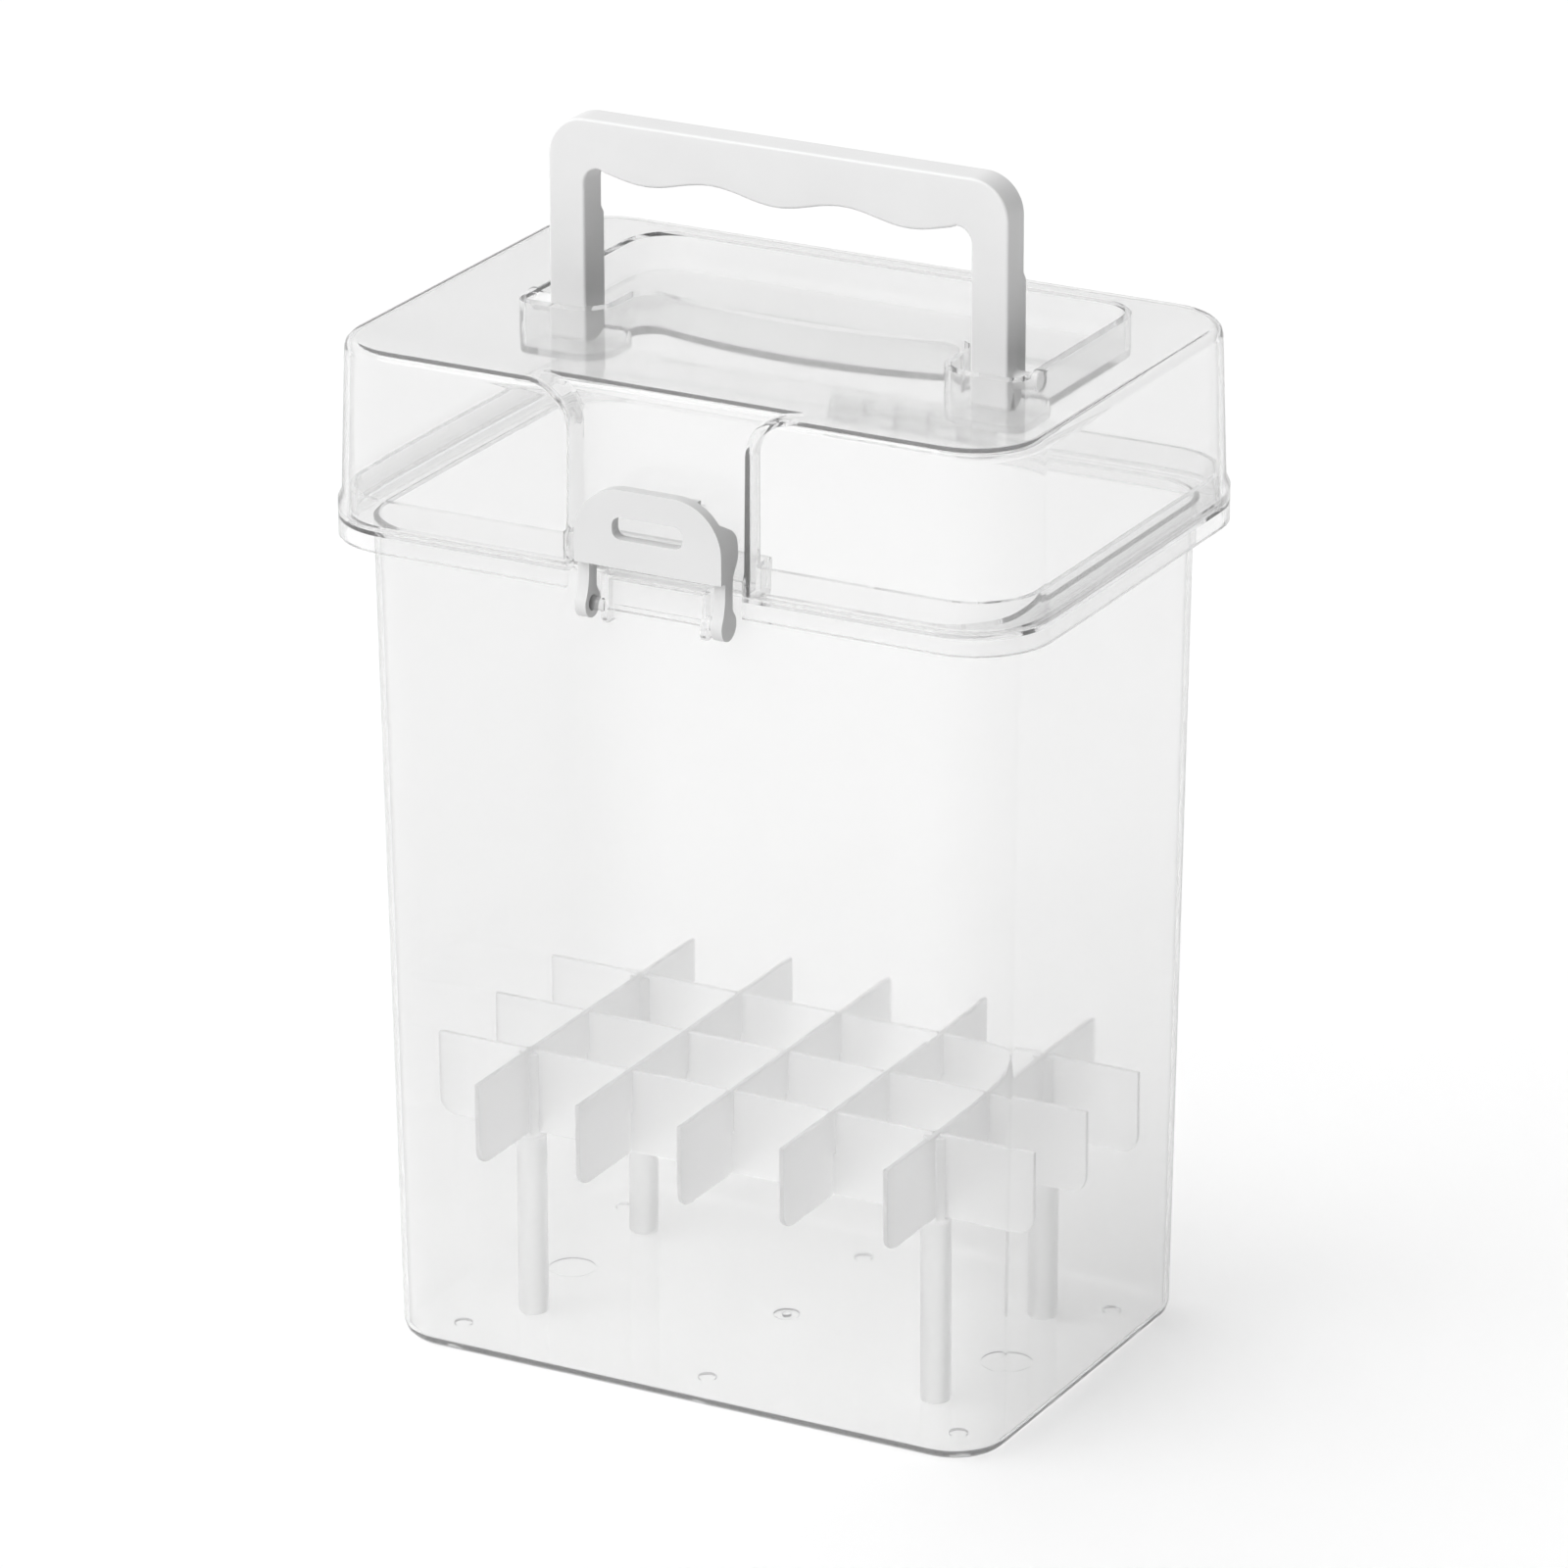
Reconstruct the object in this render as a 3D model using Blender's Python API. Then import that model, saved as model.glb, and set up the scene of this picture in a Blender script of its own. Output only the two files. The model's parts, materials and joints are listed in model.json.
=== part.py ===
"""A clear carry case for markers and small parts, with a lift-out divider grid.

Run with: blender --background --python part.py

The case is a tapered clear bin, a clear hinged lid with a sunk tray for the carry handle, a white
handle that folds back into the tray, a white latch at the front, and a grid of halved plates that
stands on four posts. Lengths below are millimetres; the model is built in metres, +Z up, with the
latch facing -Y and the origin at the middle of the bin's underside.
"""

import math

import bmesh
import bpy

MM = 0.001

# Bin: a drafted box with rounded corners
BIN_FOOT = (84.2, 57.6)
BIN_HEAD = (87.3, 61.4)
BIN_CORNER = 14.5
BIN_CORNER_GROWTH = 2.5
BIN_EDGE = 4.0
BIN_WAIST = 110.0
WALL = 1.3
FLOOR = 1.75

# Shallow marks left in the bin's floor by its mould: dimples below, and discs and a gate above
DIMPLES = [(x, y) for x in (-70.0, 0.0, 70.0) for y in (-41.5, 41.5)]
DIMPLE = (2.4, 0.8)
DISCS = [(-62.0, 0.0), (62.0, 0.0)]
DISC = (6.0, 0.3)
GATE = (3.4, 0.5)
GATE_NUB = 1.2

# Flange round the bin's mouth, and the upstand that locates the lid
FLANGE = (96.0, 66.0)
FLANGE_CORNER = 20.0
FLANGE_LOW = 212.5
FLANGE_TOP = 218.0
FLANGE_PLATE = 1.6
UPSTAND_TOP = 225.0
UPSTAND_MOUTH = 2.2
UPSTAND_ROOT = 1.6
UPSTAND_ROOT_IN = 2.4
SMALL_FILLET = 0.4
MOUTH_STEP = 0.9
MOUTH_DROP = 1.5
SKIN = 1.5
LID_PLAY = 0.4

# Lid
LID_LOW = FLANGE_TOP + 0.3
LIP = 1.0
LID_LIP_TOP = 221.5
LID_WALL_LOW = 223.5
LID_TOP = 262.6
LID_HEAD = (94.0, 64.0)
LID_EDGE = 3.0

# Recess down the front of the lid, behind the latch
NOTCH_HALF = 23.5
NOTCH_Y = -57.5
NOTCH_SHOULDER = 10.0
NOTCH_FILLET = 1.2
ROOF_EMBED = 0.7

# Tray sunk in the lid, with a deeper well for each leg of the handle
TRAY_HALF = 68.2
TRAY_BACK = 56.5
TRAY_CORNER = 11.0
TRAY_FRONT_MIDDLE = 6.0
TRAY_FRONT_END = 11.3
TRAY_FLOOR = 252.6
WELL_INNER = 46.8
WELL_FRONT = -9.3
WELL_BACK = 7.0
WELL_FLOOR = 249.6
WELL_CORNER = 3.0
WELL_ROUND = 8.0

# Carry handle
HANDLE_HALF = 62.8
HANDLE_LEG = 10.0
HANDLE_FRONT = -4.5
HANDLE_BACK = 4.3
HANDLE_TOP = 309.0
HANDLE_CORNER = 10.0
GRIP_UNDER = 295.3
GRIP_WAVE = 1.4
GRIP_PITCH = 36.0
LEG_BACK = 5.6
LEG_STEP = 284.0
PIVOT_Z = 258.8
PIVOT_END = 8.4
STUB = 2.5
STUB_PLAY = 0.3

# Rear hinge
HINGE_Y = 69.6
HINGE_Z = 218.15
KNUCKLE = 2.9
HINGE_PIN = 1.3
HINGE_BORE = 1.6
HINGE_REACH = 30.0
HINGE_PIN_HALF = 22.6
HINGE_SPANS_BIN = ((-23.0, -13.4), (-4.6, 4.6), (13.4, 23.0))
HINGE_SPANS_LID = ((-13.0, -5.0), (5.0, 13.0))

# Catch rib on the lid, and the latch and the bracket it turns on
CATCH_HALF = 10.0
CATCH_Y = -59.0
CATCH_Z = (233.6, 235.2, 236.4)
CATCH_EMBED = 0.8
LATCH_HALF = 20.0
LATCH_FRONT = -68.8
LATCH_BACK = -60.4
LATCH_PLATE = 3.2
LATCH_LOW = 220.9
LATCH_TOP = 240.7
LATCH_CORNER = 13.0
LATCH_ARM = 3.0
LATCH_ARM_FRONT = -66.9
LATCH_ARM_BACK = -63.2
LATCH_CHEEK = (225.9, 230.0, 235.2)
LATCH_EYE = 3.7
LATCH_AXIS = (-65.15, 209.7)
LATCH_STUB = 1.7
LATCH_BLIND = 1.0
LATCH_LIP = (10.0, 236.9, 238.4)
SLOT_HALF = 9.6
SLOT_LOW = 228.2
SLOT_TOP = 233.8
SLOT_CORNER = 2.0
BRACKET_HALF = 14.2
BRACKET_FRONT = -66.2
BRACKET_LOW = 209.0
BRACKET_EAR_LOW = 205.2
BRACKET_EAR_CORNER = 1.5

# Divider grid
PITCH = 28.5
PLATE = 1.4
PLATE_LOW = 51.5
PLATE_TOP = 73.4
PLATE_CORNER = 4.5
LONG_HALF = 83.2
CROSS_HALF = 55.2
PLAY = 0.3
POST_FOOT = 3.75
POST_HEAD = 3.1
POST_BORE = 2.3

CORNER_STEPS = 11
ROUND = 24

CLEAR = ("clear_plastic", (0.90, 0.93, 0.94), 0.06)
FROSTED = ("frosted_plastic", (0.86, 0.87, 0.88), 0.38)
WHITE = ("white_plastic", (0.88, 0.88, 0.87), 0.42)


def material(kind):
    name, colour, roughness = kind
    made = bpy.data.materials.get(name)
    if made:
        return made
    made = bpy.data.materials.new(name)
    made.use_nodes = True
    shader = made.node_tree.nodes["Principled BSDF"]
    shader.inputs["Base Color"].default_value = (*colour, 1.0)
    shader.inputs["Roughness"].default_value = roughness
    shader.inputs["Metallic"].default_value = 0.0
    shader.inputs["Transmission Weight"].default_value = 0.0 if kind is WHITE else 0.9
    made.diffuse_color = (*colour, 1.0)
    return made


def new_object(name, bm, kind, pivot=(0.0, 0.0, 0.0)):
    """Turns a bmesh in millimetres into an object in metres, with its origin at pivot."""
    bmesh.ops.recalc_face_normals(bm, faces=bm.faces)
    for vert in bm.verts:
        vert.co = [(vert.co[i] - pivot[i]) * MM for i in range(3)]
    mesh = bpy.data.meshes.new(name)
    bm.to_mesh(mesh)
    bm.free()
    obj = bpy.data.objects.new(name, mesh)
    obj.location = [v * MM for v in pivot]
    bpy.context.scene.collection.objects.link(obj)
    if kind:
        mesh.materials.append(material(kind))
        mesh.shade_smooth()
        mesh.set_sharp_from_angle(angle=math.radians(35))
    return obj


def arc(cx, cy, radius, start, end, steps):
    """Points on a circular arc, angles in degrees."""
    points = []
    for i in range(steps):
        a = math.radians(start + (end - start) * i / (steps - 1))
        points.append((cx + radius * math.cos(a), cy + radius * math.sin(a)))
    return points


def ring(half, corner, z, notch=None):
    """A rounded rectangle at height z, whose front side may step back in a notch.

    notch is (half width, y of its back, mouth fillet, root fillet, z of its back).
    """
    hx, hy = half
    points = []
    if notch:
        width, back, mouth, root, back_z = notch
        side = arc(-width - mouth, -hy + mouth, mouth, -90, 0, 3)
        side = [(x, y, z) for x, y in side]
        side += [(x, y, back_z) for x, y in arc(-width + root, back - root, root, 180, 90, 3)]
    else:
        offsets = (-1.0, -0.5, -0.1, 0.1, 0.5, 1.0)
        side = [(-NOTCH_HALF + f * NOTCH_FILLET, -hy, z) for f in offsets]
    points += side
    points += [(-x, y, w) for x, y, w in reversed(side)]
    centres = ((1, -1, -90), (1, 1, 0), (-1, 1, 90), (-1, -1, 180))
    for sx, sy, start in centres:
        centre = (sx * (hx - corner), sy * (hy - corner))
        turn = arc(*centre, corner, start, start + 90, CORNER_STEPS)
        points += [(x, y, z) for x, y in turn]
    return points


def loft(rings):
    """Joins rings of equal length with quads, and closes the first and the last."""
    bm = bmesh.new()
    loops = [[bm.verts.new(p) for p in points] for points in rings]
    count = len(loops[0])
    for low, high in zip(loops, loops[1:]):
        for i in range(count):
            j = (i + 1) % count
            bm.faces.new((low[i], low[j], high[j], high[i]))
    bm.faces.new(list(reversed(loops[0])))
    bm.faces.new(loops[-1])
    return bm


def prism(outline, axis, start, end, bm=None):
    """Extrudes a 2D outline along X, Y or Z. The outline's pair is (y, z), (x, z) or (x, y)."""
    bm = bm or bmesh.new()
    place = {
        "x": lambda p, t: (t, p[0], p[1]),
        "y": lambda p, t: (p[0], t, p[1]),
        "z": lambda p, t: (p[0], p[1], t),
    }[axis]
    low = [bm.verts.new(place(p, start)) for p in outline]
    high = [bm.verts.new(place(p, end)) for p in outline]
    faces = [bm.faces.new(low), bm.faces.new(list(reversed(high)))]
    for i in range(len(outline)):
        j = (i + 1) % len(outline)
        faces.append(bm.faces.new((low[j], low[i], high[i], high[j])))
    bmesh.ops.recalc_face_normals(bm, faces=faces)
    return bm


def rectangle(x0, x1, y0, y1):
    return [(x0, y0), (x1, y0), (x1, y1), (x0, y1)]


def circle(cx, cy, radius, steps=ROUND):
    return [
        (cx + radius * math.cos(math.tau * i / steps), cy + radius * math.sin(math.tau * i / steps))
        for i in range(steps)
    ]


def combine(obj, bm, operation):
    """Adds a Boolean modifier that joins or cuts with the bmesh's solids."""
    tool = new_object(f"{obj.name}_{operation.lower()}_{len(obj.modifiers)}", bm, None)
    tool.parent = obj
    tool.matrix_parent_inverse = obj.matrix_basis.inverted()
    tool.hide_render = True
    tool.display_type = "WIRE"
    modifier = obj.modifiers.new(operation.lower(), "BOOLEAN")
    modifier.operation = operation
    modifier.solver = "EXACT"
    modifier.object = tool
    return tool


def drafted(z):
    """The bin's outer half sizes at height z."""
    part = z / FLANGE_LOW
    return tuple(low + (high - low) * part for low, high in zip(BIN_FOOT, BIN_HEAD))


def inset(half, amount):
    return (half[0] - amount, half[1] - amount)


def knuckles(spans, web_low, web_high, wall_y):
    """Hinge barrels, each with a web that runs to the wall at wall_y."""
    upward = web_low > HINGE_Z
    if upward:
        outline = arc(HINGE_Y, HINGE_Z, KNUCKLE, 90, -180, 16)
        outline += [(HINGE_Y - KNUCKLE, web_low), (wall_y, web_low), (wall_y, web_high)]
    else:
        outline = arc(HINGE_Y, HINGE_Z, KNUCKLE, -90, 180, 16)
        outline += [(HINGE_Y - KNUCKLE, web_high), (wall_y, web_high), (wall_y, web_low)]
    bm = bmesh.new()
    for start, end in spans:
        prism(outline, "x", start, end, bm)
    return bm


def hinge_bore():
    return prism(circle(HINGE_Y, HINGE_Z, HINGE_BORE, 16), "x", -HINGE_REACH, HINGE_REACH)


def floor_marks():
    """The cutters for the bin's shallow floor marks."""
    bm = bmesh.new()
    for x, y in DIMPLES:
        prism(circle(x, y, DIMPLE[0]), "z", -1.0, DIMPLE[1], bm)
    for x, y in DISCS:
        prism(circle(x, y, DISC[0]), "z", FLOOR - DISC[1], FLOOR + 1.0, bm)
    prism(circle(0.0, 0.0, GATE[0]), "z", FLOOR - GATE[1], FLOOR + 1.0, bm)
    return bm


def make_bin():
    play = SKIN + LID_PLAY
    upstand = inset(FLANGE, LIP + play)
    upstand_in = inset(upstand, SKIN)
    corner = FLANGE_CORNER - LIP - play
    back = NOTCH_Y + play
    width = NOTCH_HALF + play
    outer_notch = (width, back, UPSTAND_MOUTH, UPSTAND_ROOT, FLANGE_TOP)
    top_notch = (width, back, UPSTAND_MOUTH, UPSTAND_ROOT, UPSTAND_TOP)
    inside = (width + SKIN, back + SKIN, SMALL_FILLET, UPSTAND_ROOT_IN)
    inner_top = (*inside, UPSTAND_TOP)
    inner_low = (*inside, FLANGE_TOP - FLANGE_PLATE)
    ledge = FLANGE_TOP - FLANGE_PLATE
    mouth = inset(drafted(FLANGE_TOP), WALL)
    mouth_back = -mouth[1] + MOUTH_STEP
    mouth_notch = (width + SKIN, mouth_back, SMALL_FILLET, SMALL_FILLET, ledge)
    corner_waist = BIN_CORNER + BIN_CORNER_GROWTH / 2
    corner_head = BIN_CORNER + BIN_CORNER_GROWTH
    below = ledge - MOUTH_DROP

    rings = []
    for angle in (0, 30, 60, 90):
        a = math.radians(angle)
        shrink = BIN_EDGE * (1 - math.sin(a))
        z = BIN_EDGE * (1 - math.cos(a))
        rings.append(ring(inset(drafted(z), shrink), BIN_CORNER - shrink, z))
    rings.append(ring(drafted(BIN_WAIST), corner_waist, BIN_WAIST))
    rings.append(ring(drafted(ledge), corner_head, ledge))
    rings.append(ring(inset(FLANGE, SKIN), FLANGE_CORNER - SKIN, ledge))
    rings.append(ring(inset(FLANGE, SKIN), FLANGE_CORNER - SKIN, FLANGE_LOW))
    rings.append(ring(FLANGE, FLANGE_CORNER, FLANGE_LOW))
    rings.append(ring(FLANGE, FLANGE_CORNER, FLANGE_TOP))
    rings.append(ring(upstand, corner, FLANGE_TOP, outer_notch))
    rings.append(ring(upstand, corner, UPSTAND_TOP, top_notch))
    rings.append(ring(upstand_in, corner - SKIN, UPSTAND_TOP, inner_top))
    rings.append(ring(upstand_in, corner - SKIN, FLANGE_TOP, inner_low))
    rings.append(ring(mouth, corner_head - WALL, FLANGE_TOP, mouth_notch))
    rings.append(ring(inset(drafted(below), WALL), corner_head - WALL, below))
    rings.append(ring(inset(drafted(BIN_WAIST), WALL), corner_waist - WALL, BIN_WAIST))
    inner_edge = BIN_EDGE - WALL
    for angle in (90, 45, 0):
        a = math.radians(angle)
        shrink = inner_edge * (1 - math.sin(a))
        z = FLOOR + inner_edge * (1 - math.cos(a))
        half = inset(drafted(z), WALL + shrink)
        rings.append(ring(half, BIN_CORNER - WALL - shrink, z))
    shell = new_object("bin", loft(rings), CLEAR)

    combine(shell, floor_marks(), "DIFFERENCE")
    nub = prism(circle(0.0, 0.0, GATE_NUB, 16), "z", FLOOR - GATE[1] - 0.5, FLOOR + 0.2)
    combine(shell, nub, "UNION")

    # The flange stops either side of the latch, so that only its top plate carries on.
    gap = NOTCH_HALF + 0.5
    front = -drafted(FLANGE_TOP)[1] - 0.3
    window = rectangle(-gap, gap, -FLANGE[1] - 2.0, front)
    combine(shell, prism(window, "z", FLANGE_LOW - 1.0, FLANGE_TOP + 1.0), "DIFFERENCE")

    # The bracket is a box, open below, whose cheeks carry the latch's two stubs.
    embed = -drafted(FLANGE_LOW)[1] + 0.8
    block = rectangle(-BRACKET_HALF, BRACKET_HALF, BRACKET_FRONT, embed)
    combine(shell, prism(block, "z", BRACKET_LOW, FLANGE_TOP - 0.2), "UNION")
    hollow = prism(
        rectangle(-BRACKET_HALF + SKIN, BRACKET_HALF - SKIN, BRACKET_FRONT + SKIN, front - 0.2),
        "z",
        BRACKET_LOW - 1.0,
        FLANGE_TOP - FLANGE_PLATE,
    )
    combine(shell, hollow, "DIFFERENCE")
    round_at = (BRACKET_FRONT + BRACKET_EAR_CORNER, BRACKET_EAR_LOW + BRACKET_EAR_CORNER)
    ear = arc(*round_at, BRACKET_EAR_CORNER, 180, 270, 5)
    ear += [(embed, BRACKET_EAR_LOW), (embed, BRACKET_LOW + 0.5), (BRACKET_FRONT, BRACKET_LOW + 0.5)]
    ears = bmesh.new()
    for side in (-1, 1):
        reach = sorted((side * (BRACKET_HALF - SKIN), side * BRACKET_HALF))
        prism(ear, "x", *reach, ears)
    combine(shell, ears, "UNION")
    stubs = bmesh.new()
    for side in (-1, 1):
        reach = sorted((side * (BRACKET_HALF - 1.0), side * (LATCH_HALF - LATCH_BLIND - PLAY)))
        prism(circle(*LATCH_AXIS, LATCH_STUB, 16), "x", *reach, stubs)
    combine(shell, stubs, "UNION")

    barrels = knuckles(HINGE_SPANS_BIN, HINGE_Z - KNUCKLE, FLANGE_TOP - 0.4, FLANGE[1] - 0.8)
    combine(shell, barrels, "UNION")
    combine(shell, hinge_bore(), "DIFFERENCE")
    return shell


def lid_half(z):
    """The lid wall's outer half sizes at height z."""
    part = (z - LID_WALL_LOW) / (LID_TOP - LID_WALL_LOW)
    return tuple(low + (high - low) * part for low, high in zip(inset(FLANGE, LIP), LID_HEAD))


def notch_half(z):
    """Half the front recess's width at height z: it widens in a round shoulder at the top."""
    rise = z - (LID_TOP - NOTCH_SHOULDER)
    if rise <= 0:
        return NOTCH_HALF
    return NOTCH_HALF + NOTCH_SHOULDER - math.sqrt(max(NOTCH_SHOULDER**2 - rise**2, 0.0))


def lid_ring(z, inward, shell):
    """One ring of the lid's outside (shell 0) or inside (shell SKIN) at height z."""
    corner = FLANGE_CORNER - LIP - inward - shell
    mouth = max(NOTCH_FILLET - shell, SMALL_FILLET)
    width = notch_half(min(z + shell, LID_TOP)) + inward + shell
    notch = (width, NOTCH_Y + inward + shell, mouth, NOTCH_FILLET + shell, z)
    return ring(inset(lid_half(z), inward + shell), corner, z, notch)


def lid_side(shell):
    """Rings up one side of the lid's skin, lowest first."""
    top = LID_TOP - shell
    radius = LID_EDGE - shell
    shoulder = top - NOTCH_SHOULDER
    heights = [LID_LOW, LID_WALL_LOW, 240.0]
    heights += [shoulder + NOTCH_SHOULDER * f for f in (0.0, 0.25, 0.45, 0.6)]
    rings = [lid_ring(z, 0.0, shell) for z in heights]
    if not shell:
        lip_notch = (NOTCH_HALF, NOTCH_Y, NOTCH_FILLET, NOTCH_FILLET)
        rings[0] = ring(FLANGE, FLANGE_CORNER, LID_LOW, (*lip_notch, LID_LOW))
        rings.insert(1, ring(FLANGE, FLANGE_CORNER, LID_LIP_TOP, (*lip_notch, LID_LIP_TOP)))
    for angle in (0, 30, 60, 90):
        a = math.radians(angle)
        rings.append(lid_ring(top - radius + radius * math.sin(a), radius * (1 - math.cos(a)), shell))
    return rings


def tray_outline(grow):
    """The sunk tray seen from above, with the wells' fronts; grow is the outward offset."""
    inner = WELL_INNER - grow
    outer = TRAY_HALF + grow
    bend = 5.0 + grow
    corner = TRAY_CORNER + grow
    well = WELL_CORNER + grow
    shoulder_x = inner - bend
    sweep = WELL_ROUND + grow
    right = arc(inner + sweep, WELL_FRONT - grow + sweep, sweep, 180, 270, 7)
    right += arc(outer - well, WELL_FRONT - grow + well, well, 270, 360, 4)
    right += arc(outer - corner, TRAY_BACK + grow - corner, corner, 0, 90, 7)
    curve = []
    for i in range(7):
        x = shoulder_x * i / 7
        rise = (TRAY_FRONT_END - TRAY_FRONT_MIDDLE) * (x / shoulder_x) ** 2
        curve.append((x, TRAY_FRONT_MIDDLE - grow + rise))
    curve += arc(shoulder_x, TRAY_FRONT_END - grow - bend, bend, 90, 0, 5)
    half = curve + right
    left = [(-x, y) for x, y in reversed(half) if x > 0]
    return half + left


def well_outline(side, grow):
    x0 = WELL_INNER - grow
    x1 = TRAY_HALF + grow
    y0 = WELL_FRONT - grow
    y1 = WELL_BACK + grow
    radius = WELL_CORNER + grow
    sweep = WELL_ROUND + grow
    outline = arc(x1 - radius, y1 - radius, radius, 0, 90, 4)
    outline += arc(x0 + radius, y1 - radius, radius, 90, 180, 4)
    outline += arc(x0 + sweep, y0 + sweep, sweep, 180, 270, 7)
    outline += arc(x1 - radius, y0 + radius, radius, 270, 360, 4)
    return [(side * x, y) for x, y in outline]


def make_lid():
    rings = list(reversed(lid_side(SKIN))) + lid_side(0.0)
    lid = new_object("lid", loft(rings), CLEAR)
    roof = LID_TOP - ROOF_EMBED
    combine(lid, prism(tray_outline(SKIN), "z", TRAY_FLOOR - SKIN, roof), "UNION")
    for side in (-1, 1):
        well = prism(well_outline(side, SKIN - 0.1), "z", WELL_FLOOR - SKIN, roof - 1.0)
        combine(lid, well, "UNION")
    combine(lid, prism(tray_outline(0.0), "z", TRAY_FLOOR, LID_TOP + 2.0), "DIFFERENCE")
    for side in (-1, 1):
        well = prism(well_outline(side, -0.1), "z", WELL_FLOOR, TRAY_FLOOR + 2.0)
        combine(lid, well, "DIFFERENCE")
    bores = bmesh.new()
    for side in (-1, 1):
        reach = sorted((side * (TRAY_HALF - 1.0), side * (TRAY_HALF + SKIN + 1.0)))
        prism(circle(0.0, PIVOT_Z, STUB + STUB_PLAY, 16), "x", *reach, bores)
    combine(lid, bores, "DIFFERENCE")

    root = NOTCH_Y + CATCH_EMBED
    ramp_low, ramp_high, catch_top = CATCH_Z
    catch = [(root, ramp_low), (CATCH_Y, ramp_high), (CATCH_Y, catch_top), (root, catch_top)]
    combine(lid, prism(catch, "x", -CATCH_HALF, CATCH_HALF), "UNION")
    barrels = knuckles(HINGE_SPANS_LID, HINGE_Z + 0.55, HINGE_Z + KNUCKLE, FLANGE[1] - 0.8)
    combine(lid, barrels, "UNION")
    combine(lid, hinge_bore(), "DIFFERENCE")
    return lid


def make_hinge_pin():
    bm = prism(circle(HINGE_Y, HINGE_Z, HINGE_PIN, 16), "x", -HINGE_PIN_HALF, HINGE_PIN_HALF)
    return new_object("hinge_pin", bm, WHITE, (0.0, HINGE_Y, HINGE_Z))


def make_handle():
    outer = HANDLE_HALF
    inner = HANDLE_HALF - HANDLE_LEG
    low = PIVOT_Z + 4.0
    outline = [(outer, low)]
    outline += arc(outer - HANDLE_CORNER, HANDLE_TOP - HANDLE_CORNER, HANDLE_CORNER, 0, 90, 8)
    outline += arc(-outer + HANDLE_CORNER, HANDLE_TOP - HANDLE_CORNER, HANDLE_CORNER, 90, 180, 8)
    outline += [(-outer, low), (-inner, low)]
    round_in = 4.0
    outline += arc(-inner + round_in, GRIP_UNDER + 1.2 - round_in, round_in, 180, 90, 5)
    span = inner - round_in - 1.5
    steps = 30
    for i in range(steps + 1):
        x = -span + 2 * span * i / steps
        outline.append((x, GRIP_UNDER - GRIP_WAVE * math.cos(math.tau * x / GRIP_PITCH)))
    outline += arc(inner - round_in, GRIP_UNDER + 1.2 - round_in, round_in, 90, 0, 5)
    outline += [(inner, low)]
    bm = prism(outline, "y", HANDLE_FRONT, HANDLE_BACK)
    handle = new_object("carry_handle", bm, WHITE, (0.0, 0.0, PIVOT_Z))

    # Each leg's foot is thicker and ends in a round about the pivot, so that it can turn in its well.
    end_back = math.degrees(math.asin(LEG_BACK / PIVOT_END))
    end_front = math.degrees(math.asin(-HANDLE_FRONT / PIVOT_END))
    profile = arc(0.0, PIVOT_Z, PIVOT_END, -90 + end_back, -90 - end_front, 7)
    profile += [(HANDLE_FRONT, LEG_STEP - 1.0), (HANDLE_BACK - 0.5, LEG_STEP + 0.8)]
    profile += [(LEG_BACK, LEG_STEP - 1.2)]
    feet = bmesh.new()
    for side in (-1, 1):
        prism(profile, "x", *sorted((side * (inner + 0.02), side * (outer - 0.02))), feet)
    combine(handle, feet, "UNION")
    stubs = bmesh.new()
    for side in (-1, 1):
        reach = sorted((side * (outer - 1.0), side * (TRAY_HALF + SKIN - 0.3)))
        prism(circle(0.0, PIVOT_Z, STUB, 16), "x", *reach, stubs)
    combine(handle, stubs, "UNION")
    return handle


def latch_outline(inward, low):
    """The latch's front seen square on, from height low: straight sides and a round head."""
    half = LATCH_HALF - inward
    radius = LATCH_CORNER - inward
    top = LATCH_TOP - inward
    outline = [(-half, low), (half, low)]
    outline += arc(half - radius, top - radius, radius, 0, 90, 9)
    outline += arc(-half + radius, top - radius, radius, 90, 180, 9)
    return outline


def latch_arm():
    """An arm seen from the side: the eye, a slim shank set back, and a cheek behind the plate."""
    pivot_y, pivot_z = LATCH_AXIS
    cheek_low, cheek_high, cheek_top = LATCH_CHEEK
    reach = LATCH_ARM_BACK - LATCH_BACK
    side = arc(pivot_y, pivot_z, LATCH_EYE, 145, 410, 14)
    side += [(LATCH_ARM_BACK, pivot_z + LATCH_EYE + 0.3), (LATCH_ARM_BACK, cheek_low - 6.0)]
    side += [(LATCH_ARM_BACK + 0.4, cheek_low - 4.0), (LATCH_BACK, cheek_low), (LATCH_BACK, cheek_high)]
    side += [(LATCH_BACK + reach * 0.25, cheek_high + 1.6), (LATCH_ARM_BACK, cheek_high + 3.3)]
    side += [(LATCH_ARM_FRONT, cheek_top), (LATCH_ARM_FRONT, pivot_z + 7.9)]
    side += [(LATCH_ARM_FRONT - 0.3, pivot_z + 5.3), (LATCH_ARM_FRONT - 0.7, pivot_z + 3.5)]
    return side


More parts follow.
